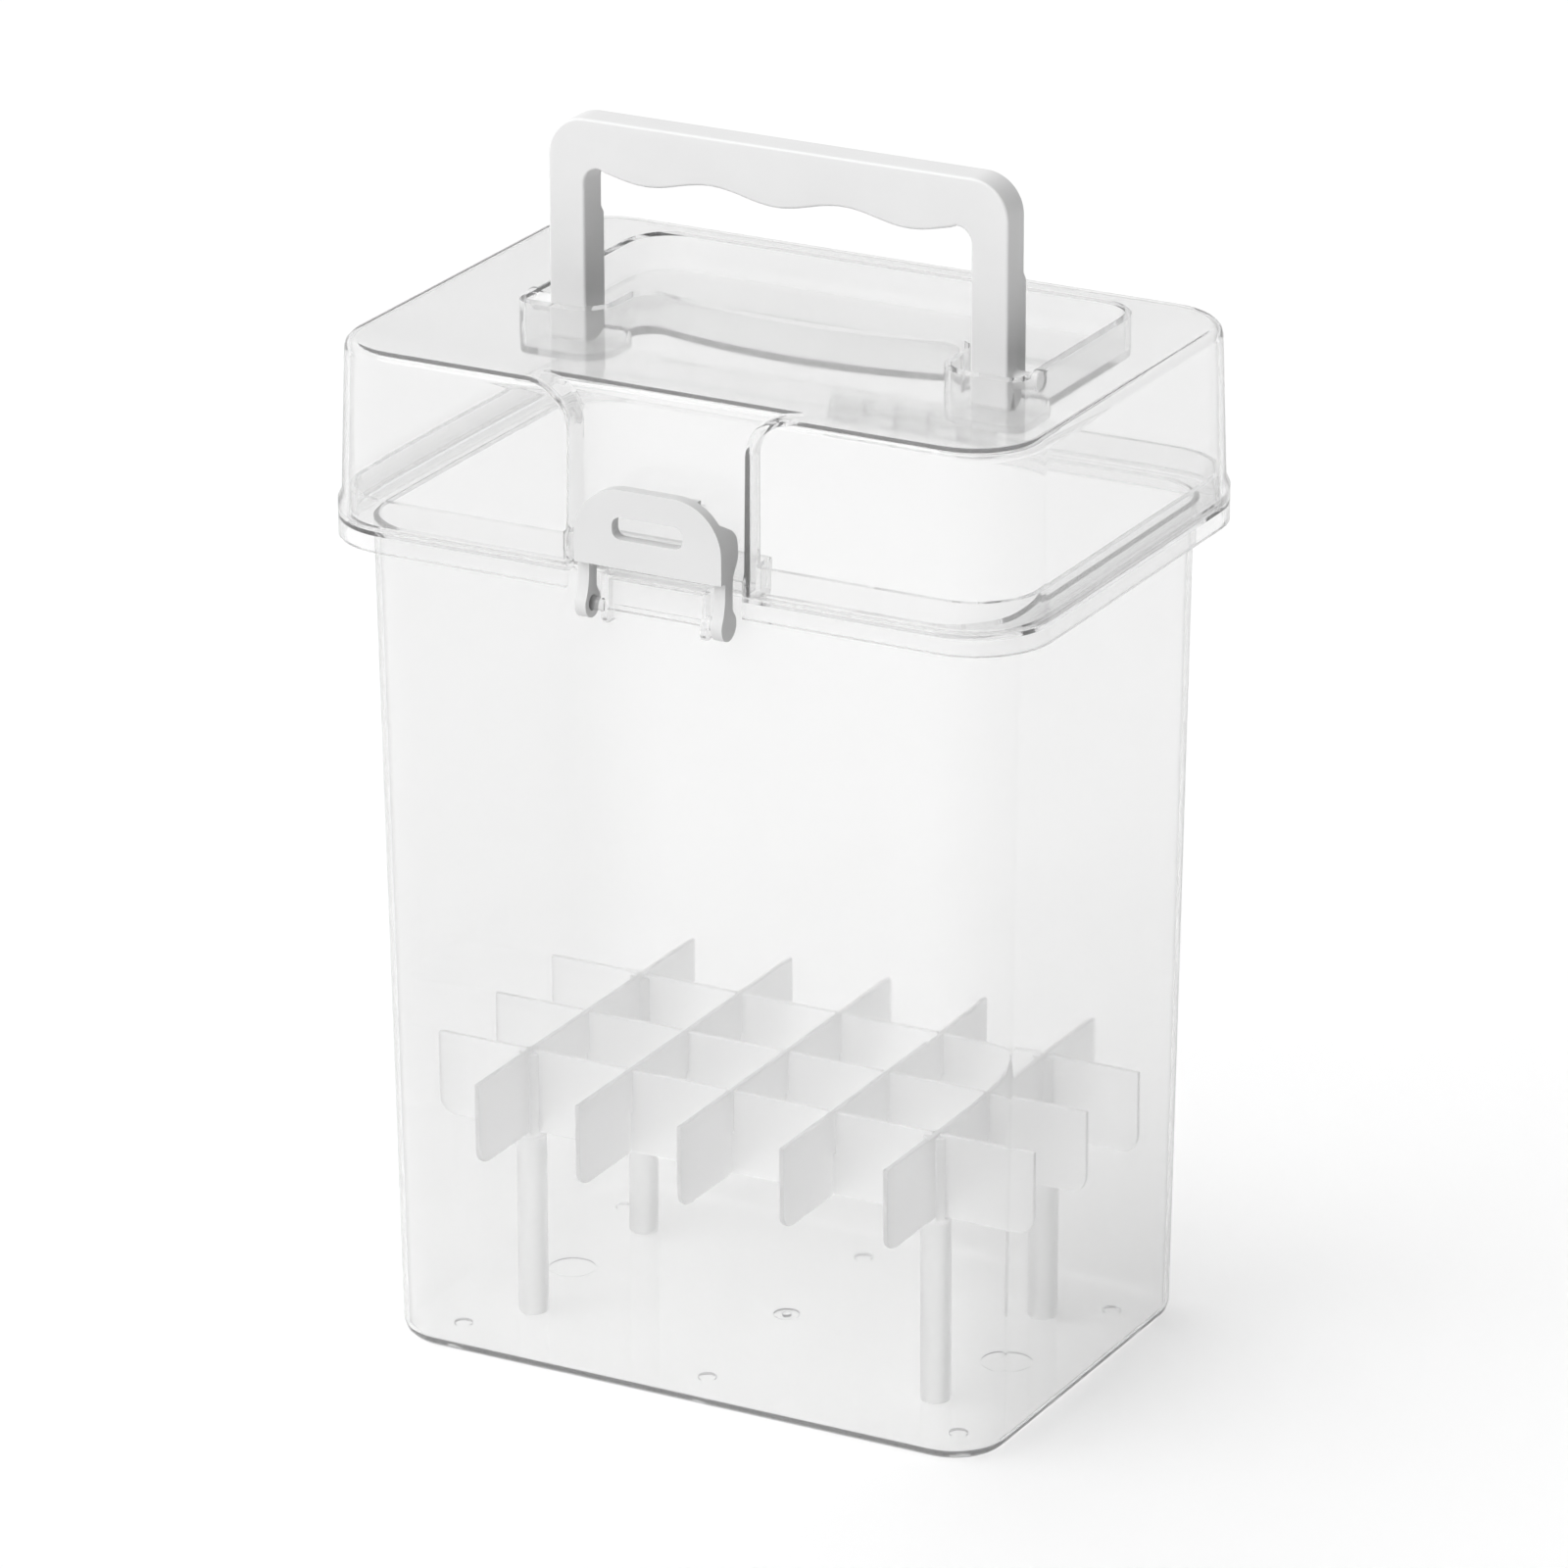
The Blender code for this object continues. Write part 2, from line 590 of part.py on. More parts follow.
def make_latch():
    pivot_y, pivot_z = LATCH_AXIS
    plate_back = LATCH_FRONT + LATCH_PLATE
    below = pivot_z - LATCH_EYE - 1.0
    bm = prism(latch_outline(0.0, below), "y", LATCH_FRONT - 1.0, LATCH_BACK + 1.0)
    latch = new_object("front_latch", bm, WHITE, (0.0, pivot_y, pivot_z))
    inside = prism(latch_outline(LATCH_ARM, below - 1.0), "y", LATCH_FRONT - 2.0, LATCH_BACK + 2.0)
    combine(latch, inside, "DIFFERENCE")
    combine(latch, prism(latch_arm(), "x", -LATCH_HALF - 1.0, LATCH_HALF + 1.0), "INTERSECT")
    plate = prism(latch_outline(0.0, LATCH_LOW), "y", LATCH_FRONT, plate_back)
    combine(latch, plate, "UNION")
    lip_half, lip_low, lip_high = LATCH_LIP
    lip = rectangle(-lip_half, lip_half, plate_back - 1.0, LATCH_BACK)
    combine(latch, prism(lip, "z", lip_low, lip_high), "UNION")

    bore = LATCH_HALF - LATCH_BLIND
    cuts = prism(circle(pivot_y, pivot_z, LATCH_STUB + STUB_PLAY, 16), "x", -bore, bore)
    radius = SLOT_CORNER
    slot = arc(SLOT_HALF - radius, SLOT_TOP - radius, radius, 0, 90, 4)
    slot += arc(-SLOT_HALF + radius, SLOT_TOP - radius, radius, 90, 180, 4)
    slot += arc(-SLOT_HALF + radius, SLOT_LOW + radius, radius, 180, 270, 4)
    slot += arc(SLOT_HALF - radius, SLOT_LOW + radius, radius, 270, 360, 4)
    prism(slot, "y", LATCH_FRONT - 1.0, plate_back + 1.0, cuts)
    combine(latch, cuts, "DIFFERENCE")
    return latch


def plate_outline(half, crossings, from_top):
    """A divider plate with its lower corners rounded and a half-depth slot at each crossing."""
    middle = (PLATE_LOW + PLATE_TOP) / 2
    gap = PLATE / 2 + PLAY
    low = arc(-half + PLATE_CORNER, PLATE_LOW + PLATE_CORNER, PLATE_CORNER, 180, 270, 5)
    high = arc(half - PLATE_CORNER, PLATE_LOW + PLATE_CORNER, PLATE_CORNER, 270, 360, 5)
    notches = []
    end = middle - PLAY / 2 if from_top else middle + PLAY / 2
    edge = PLATE_TOP if from_top else PLATE_LOW
    for at in crossings:
        notches += [(at - gap, edge), (at - gap, end), (at + gap, end), (at + gap, edge)]
    if from_top:
        return low + high + [(half, PLATE_TOP)] + notches[::-1] + [(-half, PLATE_TOP)]
    return low + notches + high + [(half, PLATE_TOP), (-half, PLATE_TOP)]


def make_dividers(carrier):
    rows = (-PITCH, 0.0, PITCH)
    columns = tuple(PITCH * i for i in (-2, -1, 0, 1, 2))
    for i, y in enumerate(rows):
        bm = prism(plate_outline(LONG_HALF, columns, True), "y", y - PLATE / 2, y + PLATE / 2)
        new_object(f"long_divider_{i + 1}", bm, FROSTED).parent = carrier
    for i, x in enumerate(columns):
        bm = prism(plate_outline(CROSS_HALF, rows, False), "x", x - PLATE / 2, x + PLATE / 2)
        new_object(f"cross_divider_{i + 1}", bm, FROSTED).parent = carrier
    number = 0
    for y in (-PITCH, PITCH):
        for x in (-2 * PITCH, 2 * PITCH):
            number += 1
            make_post(f"divider_post_{number}", x, y).parent = carrier


def make_post(name, x, y):
    """A tube with a slimmer head, cut crosswise to take two crossing plates."""
    base = FLOOR + PLAY
    seat = PLATE_LOW - PLAY
    bm = bmesh.new()
    profile = (
        (POST_FOOT - 0.5, base),
        (POST_FOOT, base + 0.5),
        (POST_FOOT, seat - 0.9),
        (POST_HEAD, seat - 0.4),
        (POST_HEAD, PLATE_TOP - 0.6),
    )
    loops = [[(px, py, z) for px, py in circle(x, y, r)] for r, z in profile]
    bm = loft(loops)
    post = new_object(name, bm, FROSTED)
    combine(post, prism(circle(x, y, POST_BORE, 16), "z", base - 1.0, seat - 3.0), "DIFFERENCE")
    gap = PLATE / 2 + PLAY
    reach = POST_FOOT + 1.0
    cross = [
        (x - reach, y - gap),
        (x - gap, y - gap),
        (x - gap, y - reach),
        (x + gap, y - reach),
        (x + gap, y - gap),
        (x + reach, y - gap),
        (x + reach, y + gap),
        (x + gap, y + gap),
        (x + gap, y + reach),
        (x - gap, y + reach),
        (x - gap, y + gap),
        (x - reach, y + gap),
    ]
    combine(post, prism(cross, "z", seat, PLATE_TOP + 1.0), "DIFFERENCE")
    return post


def empty(name, location):
    marker = bpy.data.objects.new(name, None)
    marker.location = [v * MM for v in location]
    bpy.context.scene.collection.objects.link(marker)
    return marker


def keep_place(child, parent):
    child.parent = parent
    child.matrix_parent_inverse = parent.matrix_basis.inverted()


def main():
    for obj in list(bpy.data.objects):
        bpy.data.objects.remove(obj, do_unlink=True)
    shell = make_bin()
    lid_axis = empty("lid_axis", (0.0, HINGE_Y, HINGE_Z))
    lid = make_lid()
    handle = make_handle()
    pin = make_hinge_pin()
    latch = make_latch()
    carrier = empty("divider_carrier", (0.0, 0.0, 0.0))
    make_dividers(carrier)
    keep_place(lid_axis, shell)
    keep_place(carrier, shell)
    keep_place(pin, shell)
    keep_place(latch, shell)
    bpy.context.view_layer.update()
    lid.parent = lid_axis
    lid.matrix_parent_inverse = lid_axis.matrix_world.inverted()
    keep_place(handle, lid)


main()
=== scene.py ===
"""Looks of the clear carry case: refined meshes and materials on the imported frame, and a studio.

Lengths in the shapes are millimetres, and prism() turns them into metres, in the frame's axes.
Lengths in the shaders and the camera are metres.
"""

import json
import math

import bmesh
import bpy
from mathutils import Matrix, Vector


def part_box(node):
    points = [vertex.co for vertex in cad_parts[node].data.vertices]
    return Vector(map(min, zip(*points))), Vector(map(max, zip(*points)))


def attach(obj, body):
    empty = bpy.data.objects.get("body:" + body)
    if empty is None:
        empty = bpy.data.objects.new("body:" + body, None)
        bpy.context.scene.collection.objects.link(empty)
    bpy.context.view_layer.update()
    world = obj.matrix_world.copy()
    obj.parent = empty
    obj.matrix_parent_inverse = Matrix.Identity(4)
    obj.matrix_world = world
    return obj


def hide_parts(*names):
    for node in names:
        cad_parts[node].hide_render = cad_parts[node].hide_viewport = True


MM = 0.001

# How far a cutting solid runs past what it cuts, and the smaller overrun inside the latch
OVERRUN = 2.0
SHORT_OVERRUN = 1.0

# Rounding of the sharp edges: width and number of segments
SHELL_EDGE = (0.35, 3)
PIN_EDGE = (0.3, 3)
GRID_EDGE = (0.25, 2)
HANDLE_EDGE = (1.5, 5)
LATCH_EDGE = (0.6, 4)

# Whites of the two opaque pieces, fitted by grey level to the photo
HANDLE_ALBEDO = 0.775
# Painted shade: the latch takes a darker copy of the handle's white plastic
LATCH_SHADED_ALBEDO = 0.68

# The part of a noise texture's factor that its values mostly lie in
NOISE_LOW = 0.3
NOISE_HIGH = 0.7

# Light paths through the case cross many clear surfaces
LIGHT_BOUNCES = 24

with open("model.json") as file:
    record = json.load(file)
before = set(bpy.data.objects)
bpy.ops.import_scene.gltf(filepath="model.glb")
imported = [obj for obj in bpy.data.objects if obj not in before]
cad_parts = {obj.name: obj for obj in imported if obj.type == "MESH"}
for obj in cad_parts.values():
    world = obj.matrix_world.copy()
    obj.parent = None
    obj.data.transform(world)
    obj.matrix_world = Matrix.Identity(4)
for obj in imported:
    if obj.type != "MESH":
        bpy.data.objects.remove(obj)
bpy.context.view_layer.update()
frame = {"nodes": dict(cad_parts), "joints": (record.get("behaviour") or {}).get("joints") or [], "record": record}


# ---------------------------------------------------------------------------------------- materials


class Graph:
    """A material's node tree, with short calls to add nodes and to link them."""

    def __init__(self, name):
        self.material = bpy.data.materials.new(name)
        self.material.use_nodes = True
        self.tree = self.material.node_tree
        self.tree.nodes.clear()
        self.output = self.add("ShaderNodeOutputMaterial")

    def add(self, kind, **values):
        node = self.tree.nodes.new(kind)
        for key, value in values.items():
            if key in node.inputs:
                node.inputs[key].default_value = value
            else:
                setattr(node, key, value)
        return node

    def link(self, source, target, name_in=0, name_out=0):
        self.tree.links.new(source.outputs[name_out], target.inputs[name_in])

    def principled(self, colour, roughness, **values):
        node = self.add("ShaderNodeBsdfPrincipled", Roughness=roughness)
        node.inputs["Base Color"].default_value = (*colour, 1.0)
        for key, value in values.items():
            node.inputs[key.replace("_", " ")].default_value = value
        return node

    def coordinates(self, scale):
        """Object coordinates, scaled per axis."""
        where = self.add("ShaderNodeTexCoord")
        mapping = self.add("ShaderNodeMapping", Scale=scale)
        self.link(where, mapping, 0, "Object")
        return mapping

    def noise(self, mapping, scale, detail):
        node = self.add("ShaderNodeTexNoise", Scale=scale, Detail=detail)
        self.link(mapping, node, "Vector")
        return node

    def ramp(self, source, low, high):
        """Maps the middle of a texture's factor to low..high."""
        node = self.add("ShaderNodeMapRange")
        node.inputs["To Min"].default_value = low
        node.inputs["To Max"].default_value = high
        node.inputs["From Min"].default_value = NOISE_LOW
        node.inputs["From Max"].default_value = NOISE_HIGH
        self.link(source, node, 0)
        return node

    def bump(self, source, strength, distance):
        node = self.add("ShaderNodeBump", Strength=strength, Distance=distance)
        self.link(source, node, "Height")
        return node

    def pass_lamps(self, shader, tint):
        """Lets lamps through a see-through shader, dimmed to tint, and sends the result out."""
        ray = self.add("ShaderNodeLightPath")
        clear = self.add("ShaderNodeBsdfTransparent")
        clear.inputs[0].default_value = (*tint, 1.0)
        mix = self.add("ShaderNodeMixShader")
        self.link(ray, mix, 0, "Is Shadow Ray")
        self.link(shader, mix, 1)
        self.link(clear, mix, 2)
        self.link(mix, self.output, "Surface")


def clear_plastic():
    """Clear plastic, a little hazier low down, with painted shade that greys it low down and a painted reflection
    that darkens it where it is seen edge on.
    """
    g = Graph("clear_plastic")
    # Height up to which the haze and the painted low-down shade fade out
    haze_and_shade_top = 0.16
    # Painted reflection: the base colour greys where the surface is seen edge on, standing in for dark
    # surroundings seen in the edges
    painted_edge_start = 0.6
    painted_edge_grey = 0.40
    shader = g.principled((0.94, 0.94, 0.94), 0.03, IOR=1.22, Transmission_Weight=0.93)
    shader.inputs["Coat Weight"].default_value = 0.35
    shader.inputs["Coat Roughness"].default_value = 0.04
    drag = g.noise(g.coordinates((1.0, 1.0, 0.06)), 160.0, 3.0)
    g.link(g.ramp(drag, 0.03, 0.08), shader, "Roughness")
    ripple = g.noise(g.coordinates((1.0, 1.0, 0.15)), 30.0, 1.0)
    g.link(g.bump(ripple, 0.05, 0.0003), shader, "Normal")
    where = g.add("ShaderNodeTexCoord")
    parts = g.add("ShaderNodeSeparateXYZ")
    g.link(where, parts, 0, "Object")
    rise = g.add("ShaderNodeMapRange")
    rise.inputs["From Min"].default_value = 0.0
    rise.inputs["From Max"].default_value = haze_and_shade_top
    g.link(parts, rise, "Value", "Z")
    haze = g.add("ShaderNodeMapRange")
    haze.inputs["To Min"].default_value = 0.90
    haze.inputs["To Max"].default_value = 0.94
    g.link(rise, haze, "Value")
    g.link(haze, shader, "Transmission Weight")
    # Painted shade: the base colour greys towards the bottom, standing in for the shadowed ground beneath the case
    body = g.add("ShaderNodeValToRGB")
    body.color_ramp.elements[0].color = (0.903, 0.903, 0.903, 1.0)
    body.color_ramp.elements[1].color = (0.944, 0.944, 0.944, 1.0)
    g.link(rise, body, 0)
    rim = g.add("ShaderNodeLayerWeight", Blend=0.5)
    painted_edge_darkening = g.add("ShaderNodeValToRGB")
    painted_edge_darkening.color_ramp.elements[0].position = painted_edge_start
    painted_edge_darkening.color_ramp.elements[0].color = (1.0, 1.0, 1.0, 1.0)
    painted_edge_darkening.color_ramp.elements[1].color = (painted_edge_grey, painted_edge_grey, painted_edge_grey, 1.0)
    g.link(rim, painted_edge_darkening, 0, "Facing")
    # Multiplies the painted low-down shade and the painted edge reflection into the base colour
    tint = g.add("ShaderNodeMix", data_type="RGBA", blend_type="MULTIPLY")
    tint.inputs[0].default_value = 1.0
    g.link(body, tint, 6)
    g.link(painted_edge_darkening, tint, 7)
    g.link(tint, shader, "Base Color", 2)
    volume = g.add("ShaderNodeVolumeAbsorption", Density=6.0)
    volume.inputs["Color"].default_value = (0.10, 0.10, 0.10, 1.0)
    g.link(volume, g.output, "Volume")
    g.pass_lamps(shader, (0.93, 0.93, 0.93))
    return g.material


def frosted_plastic():
    g = Graph("frosted_plastic")
    shader = g.principled((0.95, 0.95, 0.95), 0.4, IOR=1.35, Transmission_Weight=0.8)
    grain = g.noise(g.coordinates((1.0, 1.0, 1.0)), 900.0, 4.0)
    g.link(g.ramp(grain, 0.34, 0.48), shader, "Roughness")
    g.link(g.bump(grain, 0.15, 0.0001), shader, "Normal")
    g.pass_lamps(shader, (0.90, 0.90, 0.90))
    return g.material


def white_plastic(name, albedo):
    """White plastic whose tone drifts slightly about albedo."""
    g = Graph(name)
    drift = 0.015
    shader = g.principled((albedo, albedo, albedo), 0.4, IOR=1.47, Subsurface_Weight=0.12)
    shader.inputs["Subsurface Radius"].default_value = (0.8, 0.8, 0.8)
    shader.inputs["Subsurface Scale"].default_value = 0.0015
    cloud = g.noise(g.coordinates((1.0, 1.0, 1.0)), 45.0, 4.0)
    tone = g.add("ShaderNodeValToRGB")
    tone.color_ramp.elements[0].position = NOISE_LOW
    tone.color_ramp.elements[0].color = (*[albedo * (1.0 - drift)] * 3, 1.0)
    tone.color_ramp.elements[1].position = NOISE_HIGH
    tone.color_ramp.elements[1].color = (*[albedo * (1.0 + drift)] * 3, 1.0)
    g.link(cloud, tone, 0)
    g.link(tone, shader, "Base Color")
    grain = g.noise(g.coordinates((1.0, 1.0, 1.0)), 1400.0, 3.0)
    g.link(g.ramp(grain, 0.36, 0.46), shader, "Roughness")
    g.link(g.bump(grain, 0.10, 0.00008), shader, "Normal")
    g.link(shader, g.output, "Surface")
    return g.material


def floor_paper():
    g = Graph("floor_paper")
    shader = g.principled((0.98, 0.98, 0.98), 0.9)
    fibre = g.noise(g.coordinates((1.0, 1.0, 1.0)), 12.0, 5.0)
    g.link(g.ramp(fibre, 0.85, 0.95), shader, "Roughness")
    g.link(shader, g.output, "Surface")
    return g.material


CLEAR = clear_plastic()
FROSTED = frosted_plastic()
WHITE = white_plastic("white_plastic", HANDLE_ALBEDO)
# Painted shade: the same white plastic, darkened for the latch
LATCH_SHADED_WHITE = white_plastic("latch_plastic_shaded", LATCH_SHADED_ALBEDO)


# ------------------------------------------------------------------------------------------- shapes


def arc(cx, cy, radius, start, end, steps):
    """Points on a circular arc, angles in degrees."""
    points = []
    for i in range(steps):
        a = math.radians(start + (end - start) * i / (steps - 1))
        points.append((cx + radius * math.cos(a), cy + radius * math.sin(a)))
    return points


def circle(cx, cy, radius, steps=40):
    return arc(cx, cy, radius, 0, 360 - 360 / steps, steps)


def rectangle(x0, x1, y0, y1):
    return [(x0, y0), (x1, y0), (x1, y1), (x0, y1)]


def prism(outline, axis, start, end, bm=None):
    """Extrudes a 2D outline along X, Y or Z. The outline's pair is (y, z), (x, z) or (x, y)."""
    bm = bm or bmesh.new()
    place = {
        "x": lambda p, t: (t, p[0], p[1]),
        "y": lambda p, t: (p[0], t, p[1]),
        "z": lambda p, t: (p[0], p[1], t),
    }[axis]
    low = [bm.verts.new([v * MM for v in place(p, start)]) for p in outline]
    high = [bm.verts.new([v * MM for v in place(p, end)]) for p in outline]
    faces = [bm.faces.new(low), bm.faces.new(list(reversed(high)))]
    for i in range(len(outline)):
        j = (i + 1) % len(outline)
        faces.append(bm.faces.new((low[j], low[i], high[i], high[j])))
    bmesh.ops.recalc_face_normals(bm, faces=faces)
    return bm


def to_object(name, bm):
    mesh = bpy.data.meshes.new(name)
    bm.to_mesh(mesh)
    bm.free()
    obj = bpy.data.objects.new(name, mesh)
    bpy.context.scene.collection.objects.link(obj)
    return obj


def settle(obj):
    """Replaces an object's mesh with what its modifiers make of it."""
    bpy.context.view_layer.update()
    depsgraph = bpy.context.evaluated_depsgraph_get()
    mesh = bpy.data.meshes.new_from_object(obj.evaluated_get(depsgraph), depsgraph=depsgraph)
    obj.modifiers.clear()
    obj.data = mesh
    return obj


def combine(obj, bm, operation):
    """Joins, cuts or intersects an object with the bmesh's solids, at once."""
    tool = to_object("tool", bm)
    modifier = obj.modifiers.new(operation, "BOOLEAN")
    modifier.operation = operation
    modifier.solver = "EXACT"
    modifier.object = tool
    settle(obj)
    bpy.data.objects.remove(tool)
    return obj


def tidy_mesh(obj, flat_angle):
    """Welds split vertices and merges flat neighbouring faces."""
    bm = bmesh.new()
    bm.from_mesh(obj.data)
    bmesh.ops.remove_doubles(bm, verts=bm.verts, dist=0.002 * MM)
    angle = math.radians(flat_angle)
    bmesh.ops.dissolve_limit(bm, angle_limit=angle, verts=bm.verts, edges=bm.edges)
    bm.to_mesh(obj.data)
    bm.free()


def soften(obj, width, segments, angle=40.0):
    """Rounds an object's sharp edges by width and shades it smooth."""
    tidy_mesh(obj, 0.3)
    bevel = obj.modifiers.new("bevel", "BEVEL")
    bevel.limit_method = "ANGLE"
    bevel.angle_limit = math.radians(angle)
    bevel.width = width * MM
    bevel.segments = segments
    bevel.miter_outer = "MITER_ARC"
    bevel.use_clamp_overlap = True
    settle(obj)
    obj.data.shade_smooth()
    obj.data.set_sharp_from_angle(angle=math.radians(angle))
    weighted = obj.modifiers.new("weighted", "WEIGHTED_NORMAL")
    weighted.keep_sharp = True
    weighted.weight = 80
    settle(obj)
    return obj


def dress(obj, material, slot, body, *nodes):
    """Gives a piece its material and ties it to the frame."""
    obj.data.materials.clear()
    obj.data.materials.append(material)
    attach(obj, body)
    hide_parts(*nodes)
    return obj


def refined(node, name, edge, material, slot, body):
    """A copy of a CAD node with rounded edges, which replaces it."""
    source = frame["nodes"][node]
    obj = bpy.data.objects.new(name, source.data.copy())
    bpy.context.scene.collection.objects.link(obj)
    soften(obj, *edge)
    return dress(obj, material, slot, body, node)


# ------------------------------------------------------------------------------------------- pieces


def make_handle():
    low, high = [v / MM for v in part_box("carry_handle")]
    joint = next(j for j in frame["joints"] if j["name"] == "handle_fold")
    pivot = joint["pos_m"][2] / MM
    stub_reach = high.x
    outer = 62.8
    inner = outer - 10.0
    front = -4.5
    back = 4.3
    foot_back = 5.6
    step = 284.0
    under = 295.3
    under_end = under + 1.2
    stub = 2.5
    wave = 1.4
    pitch = 36.0
    round_out = 10.0
    round_in = 4.0
    foot_round = pivot - low.z
    top = high.z
    bottom = low.z - 5.0
    outline = [(outer, bottom)]
    outline += arc(outer - round_out, top - round_out, round_out, 0, 90, 16)
    outline += arc(-outer + round_out, top - round_out, round_out, 90, 180, 16)
    outline += [(-outer, bottom), (-inner, bottom)]
    outline += arc(-inner + round_in, under_end - round_in, round_in, 180, 90, 9)
    span = inner - round_in - 1.5
    steps = 60
    for i in range(steps + 1):
        x = -span + 2 * span * i / steps
        outline.append((x, under - wave * math.cos(math.tau * x / pitch)))
    outline += arc(inner - round_in, under_end - round_in, round_in, 90, 0, 9)
    outline += [(inner, bottom)]
    handle = to_object("handle", prism(outline, "y", front - OVERRUN, foot_back + OVERRUN))
    end_back = math.degrees(math.asin(foot_back / foot_round))
    end_front = math.degrees(math.asin(-front / foot_round))
    profile = arc(0.0, pivot, foot_round, -90 + end_back, -90 - end_front, 16)
    profile += [(front, top + OVERRUN), (back, top + OVERRUN)]
    profile += [(back, step + 0.8), (foot_back, step - 1.2)]
    combine(handle, prism(profile, "x", -outer - OVERRUN, outer + OVERRUN), "INTERSECT")
    stubs = bmesh.new()
    for side in (-1, 1):
        reach = sorted((side * (outer - OVERRUN), side * stub_reach))
        prism(circle(0.0, pivot, stub), "x", *reach, stubs)
    combine(handle, stubs, "UNION")
    soften(handle, *HANDLE_EDGE)
    return dress(handle, WHITE, "white_plastic", "handle", "carry_handle")


def make_latch():
    low, high = [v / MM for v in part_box("front_latch")]
    joint = next(j for j in frame["joints"] if j["name"] == "latch_hinge")
    axis_y = joint["pos_m"][1] / MM
    axis_z = joint["pos_m"][2] / MM
    half = high.x
    front = low.y
    back = high.y
    top = high.z
    plate_back = front + 3.2
    plate_low = 220.9
    arm = 3.0
    arm_front = -66.9
    arm_back = -63.2
    eye = axis_z - low.z
    head = 13.0
    lip_half = 10.0
    lip_low = 236.9
    lip_high = 238.4
    end_wall = 1.0
    bore_radius = 2.0
    below = low.z - SHORT_OVERRUN

    def shape(inward, base):
        bend = head - inward
        side = half - inward
        outline = [(-side, base), (side, base)]
        outline += arc(side - bend, top - head, bend, 0, 90, 20)
        outline += arc(-side + bend, top - head, bend, 90, 180, 20)
        return outline

    latch = to_object("latch", prism(shape(0.0, below), "y", front, back + SHORT_OVERRUN))
    inside = prism(shape(arm, below - SHORT_OVERRUN), "y", front - OVERRUN, back + OVERRUN)
    combine(latch, inside, "DIFFERENCE")
    round_cheek = 3.4
    profile = arc(axis_y, axis_z, eye, 145, 405, 28)
    profile += [(arm_back - 0.05, axis_z + eye + 0.1), (arm_back, axis_z + eye + 0.9)]
    profile += [(arm_back, 219.6), (arm_back + 0.15, 221.0), (arm_back + 0.7, 222.4)]
    profile += [(back - 0.7, 224.4), (back - 0.15, 225.5), (back, 226.6)]
    profile += arc(back - round_cheek, 230.0, round_cheek, 0, 60, 7)
    profile += [(plate_back - 0.2, 235.1), (arm_front, 235.3), (arm_front, axis_z + 7.9)]
    profile += [(arm_front - 0.1, axis_z + 6.6), (arm_front - 0.35, axis_z + 5.2)]
    profile += [(arm_front - 0.7, axis_z + 3.7)]
    combine(latch, prism(profile, "x", -half - SHORT_OVERRUN, half + SHORT_OVERRUN), "INTERSECT")
    combine(latch, prism(shape(0.0, plate_low), "y", front, plate_back), "UNION")
    lip = rectangle(-lip_half, lip_half, plate_back - SHORT_OVERRUN, back)
    combine(latch, prism(lip, "z", lip_low, lip_high), "UNION")
    bore = half - end_wall
    cuts = prism(circle(axis_y, axis_z, bore_radius), "x", -bore, bore)
    slot_half = 9.6
    slot_low = 228.2
    slot_top = 233.8
    corner = 2.2
    slot = arc(slot_half - corner, slot_top - corner, corner, 0, 90, 8)
    slot += arc(-slot_half + corner, slot_top - corner, corner, 90, 180, 8)
    slot += arc(-slot_half + corner, slot_low + corner, corner, 180, 270, 8)
    slot += arc(slot_half - corner, slot_low + corner, corner, 270, 360, 8)
    prism(slot, "y", front - SHORT_OVERRUN, plate_back + SHORT_OVERRUN, cuts)
    combine(latch, cuts, "DIFFERENCE")
    soften(latch, *LATCH_EDGE)
    return dress(latch, LATCH_SHADED_WHITE, "white_plastic", "latch", "front_latch")


refined("bin", "bin_shell", SHELL_EDGE, CLEAR, "clear_plastic", "bin")
refined("lid", "lid_shell", SHELL_EDGE, CLEAR, "clear_plastic", "lid")
refined("hinge_pin", "pin", PIN_EDGE, WHITE, "white_plastic", "bin")
make_handle()
make_latch()
for node in frame["record"]["behaviour"]["bodies"]["divider_insert"]:
    refined(node, node + "_moulded", GRID_EDGE, FROSTED, "frosted_plastic", "divider_insert")


# ------------------------------------------------------------------------------------------- studio


def make_floor():
    size = 6000.0
    top = -0.05
    bottom = -2.0
    bm = prism(rectangle(-size, size, -size, size), "z", bottom, top)
    floor = to_object("floor", bm)
    floor.data.materials.append(floor_paper())


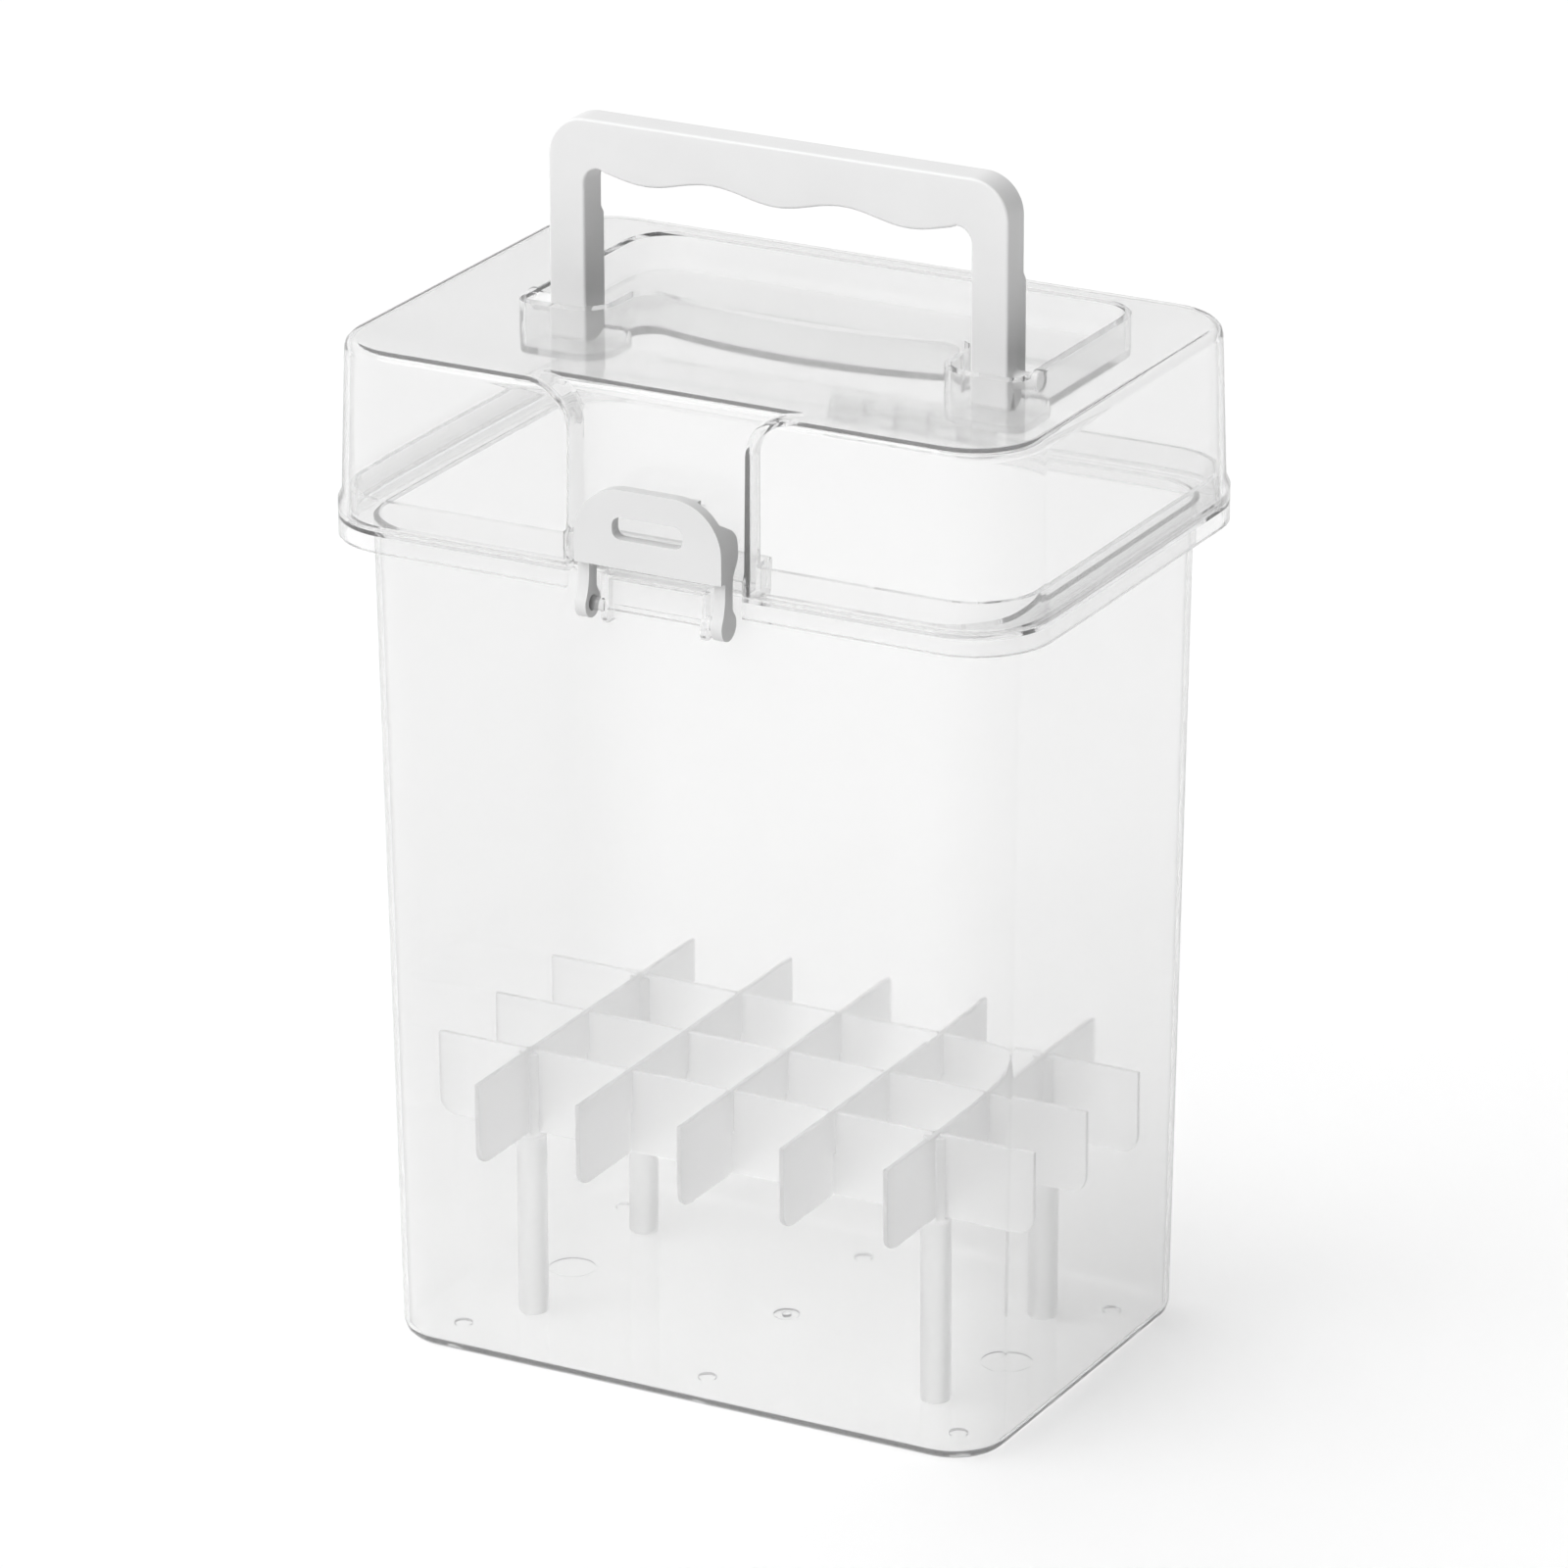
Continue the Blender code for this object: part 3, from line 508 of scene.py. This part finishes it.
def make_lights():
    """A sky that fades from bright on the left to dim on the right, and one soft lamp in front."""
    world = bpy.data.worlds.new("studio")
    bpy.context.scene.world = world
    world.use_nodes = True
    tree = world.node_tree
    background = tree.nodes["Background"]
    background.inputs["Color"].default_value = (1.0, 1.0, 1.0, 1.0)
    where = tree.nodes.new("ShaderNodeTexCoord")
    parts = tree.nodes.new("ShaderNodeSeparateXYZ")
    fade = tree.nodes.new("ShaderNodeMapRange")
    fade.interpolation_type = "SMOOTHSTEP"
    fade.inputs["From Min"].default_value = -0.7
    fade.inputs["From Max"].default_value = 0.8
    fade.inputs["To Min"].default_value = 0.95
    fade.inputs["To Max"].default_value = 0.16
    tree.links.new(where.outputs["Generated"], parts.inputs[0])
    tree.links.new(parts.outputs["X"], fade.inputs["Value"])
    tree.links.new(fade.outputs[0], background.inputs["Strength"])
    key = bpy.data.lights.new("key", "SUN")
    key.energy = 1.9
    key.angle = math.radians(60)
    lamp = bpy.data.objects.new("key", key)
    lamp.rotation_euler = Vector((-0.3, -0.9, 1.2)).to_track_quat("Z", "Y").to_euler()
    bpy.context.scene.collection.objects.link(lamp)


def make_camera():
    azimuth = math.radians(28.38)
    elevation = math.radians(20.68)
    roll = math.radians(-0.16)
    distance = 2.2331
    target = Vector((0.0, 0.0, 0.150))
    flat = math.cos(elevation)
    back = Vector((math.sin(azimuth) * flat, -math.cos(azimuth) * flat, math.sin(elevation)))
    level = Vector((0.0, 0.0, 1.0)).cross(back).normalized()
    upright = back.cross(level)
    right = level * math.cos(roll) + upright * math.sin(roll)
    up = back.cross(right)
    camera = bpy.data.objects.new("camera", bpy.data.cameras.new("camera"))
    turn = Matrix((right, up, back)).transposed().to_4x4()
    camera.matrix_world = Matrix.Translation(target + back * distance) @ turn
    camera.data.lens = 208.17
    camera.data.sensor_width = 36.0
    camera.data.shift_x = -0.0011
    camera.data.shift_y = -0.0135
    camera.data.clip_end = 50.0
    bpy.context.scene.collection.objects.link(camera)
    bpy.context.scene.camera = camera


make_floor()
make_lights()
make_camera()
bpy.context.scene.view_settings.view_transform = "Standard"
bpy.context.scene.cycles.max_bounces = LIGHT_BOUNCES
bpy.context.scene.cycles.transmission_bounces = LIGHT_BOUNCES
